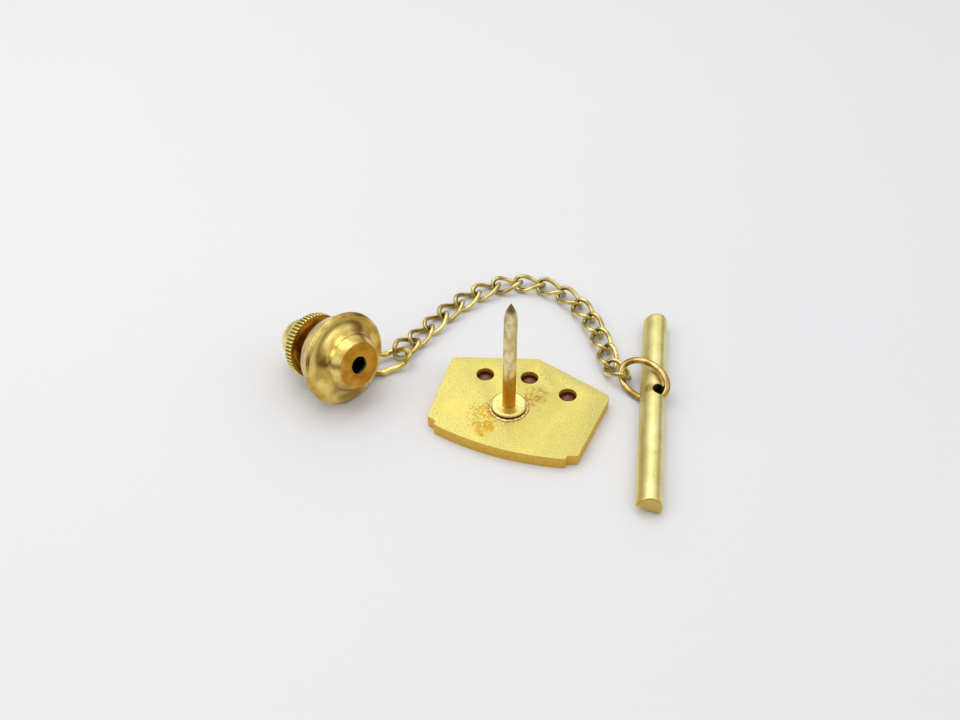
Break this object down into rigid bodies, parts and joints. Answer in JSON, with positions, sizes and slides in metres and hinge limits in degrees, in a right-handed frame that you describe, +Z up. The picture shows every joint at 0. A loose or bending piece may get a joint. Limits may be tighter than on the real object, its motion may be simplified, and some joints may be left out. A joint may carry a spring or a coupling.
{
  "type": "tie tack set",
  "caption": "Tie tack with a spring ball clutch and a curb chain to a shirt bar: a shaped plate with flush stones and a pointed post, laid out face down.",
  "frame": {"origin": "on the plate's front face, which lies on the table, under the axis of the post", "axes": "+Z up along the post; +X to the right and +Y away, with the clutch to the left, the chain behind and the shirt bar to the right"},
  "size_m": [0.0315, 0.0264, 0.0115],
  "materials": {
    "plate_gold": "fine matte, lightly pitted",
    "pad_gold": "satin",
    "solder_gold": "rough",
    "post_gold": "drawn wire, worn",
    "clutch_gold": "turned and polished",
    "collar_gold": "polished",
    "spring_steel": "bright",
    "knurl_gold": "knurled, polished",
    "dome_gold": "satin",
    "ball_steel": "polished",
    "loop_gold": "drawn wire, polished",
    "chain_gold": "drawn wire, worn",
    "ring_gold": "drawn wire, polished",
    "bar_gold": "satin",
    "red_stone": "polished"
  },
  "bodies": {
    "tack": {"tack_plate": "plate_gold", "stone_left": "red_stone", "stone_middle": "red_stone", "stone_right": "red_stone", "post_pad": "pad_gold", "solder_ring": "solder_gold", "tack_post": "post_gold"},
    "clutch": {"clutch_housing": "clutch_gold", "rear_collar": "collar_gold", "clutch_spring": "spring_steel"},
    "plunger": {"ball_cage": "spring_steel", "knurled_disc": "knurl_gold", "dome_cap": "dome_gold"},
    "clutch_ball_1": {"ball_1": "ball_steel"},
    "clutch_ball_2": {"ball_2": "ball_steel"},
    "clutch_ball_3": {"ball_3": "ball_steel"},
    "loop": {"clutch_loop": "loop_gold"},
    "chain_link_01": {"link_01": "chain_gold"},
    "chain_link_02": {"link_02": "chain_gold"},
    "chain_link_03": {"link_03": "chain_gold"},
    "chain_link_04": {"link_04": "chain_gold"},
    "chain_link_05": {"link_05": "chain_gold"},
    "chain_link_06": {"link_06": "chain_gold"},
    "chain_link_07": {"link_07": "chain_gold"},
    "chain_link_08": {"link_08": "chain_gold"},
    "chain_link_09": {"link_09": "chain_gold"},
    "chain_link_10": {"link_10": "chain_gold"},
    "chain_link_11": {"link_11": "chain_gold"},
    "chain_link_12": {"link_12": "chain_gold"},
    "chain_link_13": {"link_13": "chain_gold"},
    "chain_link_14": {"link_14": "chain_gold"},
    "chain_link_15": {"link_15": "chain_gold"},
    "ring": {"bar_ring": "ring_gold"},
    "bar": {"shirt_bar": "bar_gold"}
  },
  "joints": [
    {"name": "clutch_lift", "type": "slide", "parent": "tack", "child": "clutch", "axis": [0, 0, 1], "range_m": [0, 0.02]},
    {"name": "plunger_pull", "type": "slide", "parent": "clutch", "child": "plunger", "axis": [-0.6971, 0.6732, -0.2469], "range_m": [0, 0.0009], "stiffness_N_per_m": 600, "springref_m": -0.001, "deforming": ["clutch_spring"]},
    {"name": "ball_1_slide", "type": "slide", "parent": "plunger", "child": "clutch_ball_1", "axis": [0.1776, -0.1715, -0.969], "range_m": [0, 0.000242]},
    {"name": "ball_2_slide", "type": "slide", "parent": "plunger", "child": "clutch_ball_2", "axis": [0.5128, 0.7087, 0.4845], "range_m": [0, 0.000242]},
    {"name": "ball_3_slide", "type": "slide", "parent": "plunger", "child": "clutch_ball_3", "axis": [-0.6904, -0.5372, 0.4845], "range_m": [0, 0.000242]},
    {"name": "loop_swing", "type": "hinge", "parent": "clutch", "child": "loop", "pos_m": [-0.01447, 0.00441, 0.00299], "axis": [0.6971, -0.6732, 0.2469], "continuous": true},
    {"name": "link_01_swing", "type": "hinge", "parent": "loop", "child": "chain_link_01", "pos_m": [-0.00886, 0.0067, 0.00075], "axis": [0, 0, 1], "range_deg": [-5, 35]},
    {"name": "link_02_swing", "type": "hinge", "parent": "chain_link_01", "child": "chain_link_02", "pos_m": [-0.00767, 0.00807, 0.00056], "axis": [0, 0, -1], "range_deg": [-30, 5]},
    {"name": "link_03_swing", "type": "hinge", "parent": "chain_link_02", "child": "chain_link_03", "pos_m": [-0.00649, 0.00969, 0.00056], "axis": [0, 0, 1], "range_deg": [-5, 35]},
    {"name": "link_04_swing", "type": "hinge", "parent": "chain_link_03", "child": "chain_link_04", "pos_m": [-0.00534, 0.01133, 0.00056], "axis": [0, 0, -1], "range_deg": [-35, 5]},
    {"name": "link_05_swing", "type": "hinge", "parent": "chain_link_04", "child": "chain_link_05", "pos_m": [-0.004, 0.01282, 0.00056], "axis": [0, 0, 1], "range_deg": [-5, 35]},
    {"name": "link_06_swing", "type": "hinge", "parent": "chain_link_05", "child": "chain_link_06", "pos_m": [-0.00254, 0.01418, 0.00056], "axis": [0, 0, -1], "range_deg": [-35, 5]},
    {"name": "link_07_swing", "type": "hinge", "parent": "chain_link_06", "child": "chain_link_07", "pos_m": [-0.00085, 0.01524, 0.00056], "axis": [0, 0, 1], "range_deg": [-5, 35]},
    {"name": "link_08_swing", "type": "hinge", "parent": "chain_link_07", "child": "chain_link_08", "pos_m": [0.00111, 0.01566, 0.00056], "axis": [0, 0, -1], "range_deg": [-35, 5]},
    {"name": "link_09_swing", "type": "hinge", "parent": "chain_link_08", "child": "chain_link_09", "pos_m": [0.00309, 0.01538, 0.00056], "axis": [0, 0, 1], "range_deg": [-7, 35]},
    {"name": "link_10_swing", "type": "hinge", "parent": "chain_link_09", "child": "chain_link_10", "pos_m": [0.00479, 0.01432, 0.00056], "axis": [0, 0, -1], "range_deg": [-35, 7]},
    {"name": "link_11_swing", "type": "hinge", "parent": "chain_link_10", "child": "chain_link_11", "pos_m": [0.0061, 0.01281, 0.00056], "axis": [0, 0, 1], "range_deg": [-9, 35]},
    {"name": "link_12_swing", "type": "hinge", "parent": "chain_link_11", "child": "chain_link_12", "pos_m": [0.00698, 0.01101, 0.00056], "axis": [0, 0, -1], "range_deg": [-35, 11]},
    {"name": "link_13_swing", "type": "hinge", "parent": "chain_link_12", "child": "chain_link_13", "pos_m": [0.00749, 0.00908, 0.00056], "axis": [0, 0, 1], "range_deg": [-14, 35]},
    {"name": "link_14_swing", "type": "hinge", "parent": "chain_link_13", "child": "chain_link_14", "pos_m": [0.00808, 0.00717, 0.00056], "axis": [0, 0, -1], "range_deg": [-35, 16]},
    {"name": "link_15_swing", "type": "hinge", "parent": "chain_link_14", "child": "chain_link_15", "pos_m": [0.00818, 0.00517, 0.00056], "axis": [0, 0, 1], "range_deg": [-20, 20]},
    {"name": "ring_swing", "type": "hinge", "parent": "chain_link_15", "child": "ring", "pos_m": [0.00916, 0.00372, 0.0009], "axis": [0, 0, -1], "range_deg": [-12, 20]},
    {"name": "bar_swing", "type": "hinge", "parent": "ring", "child": "bar", "pos_m": [0.01164, 0.00123, 0.00062], "axis": [0.0802, 0.2606, 0.9621], "range_deg": [-12, 14]}
  ],
  "couplings": [
    {"joint": "ball_1_slide", "follows": "plunger_pull", "ratio": 0.268},
    {"joint": "ball_2_slide", "follows": "plunger_pull", "ratio": 0.268},
    {"joint": "ball_3_slide", "follows": "plunger_pull", "ratio": 0.268}
  ]
}
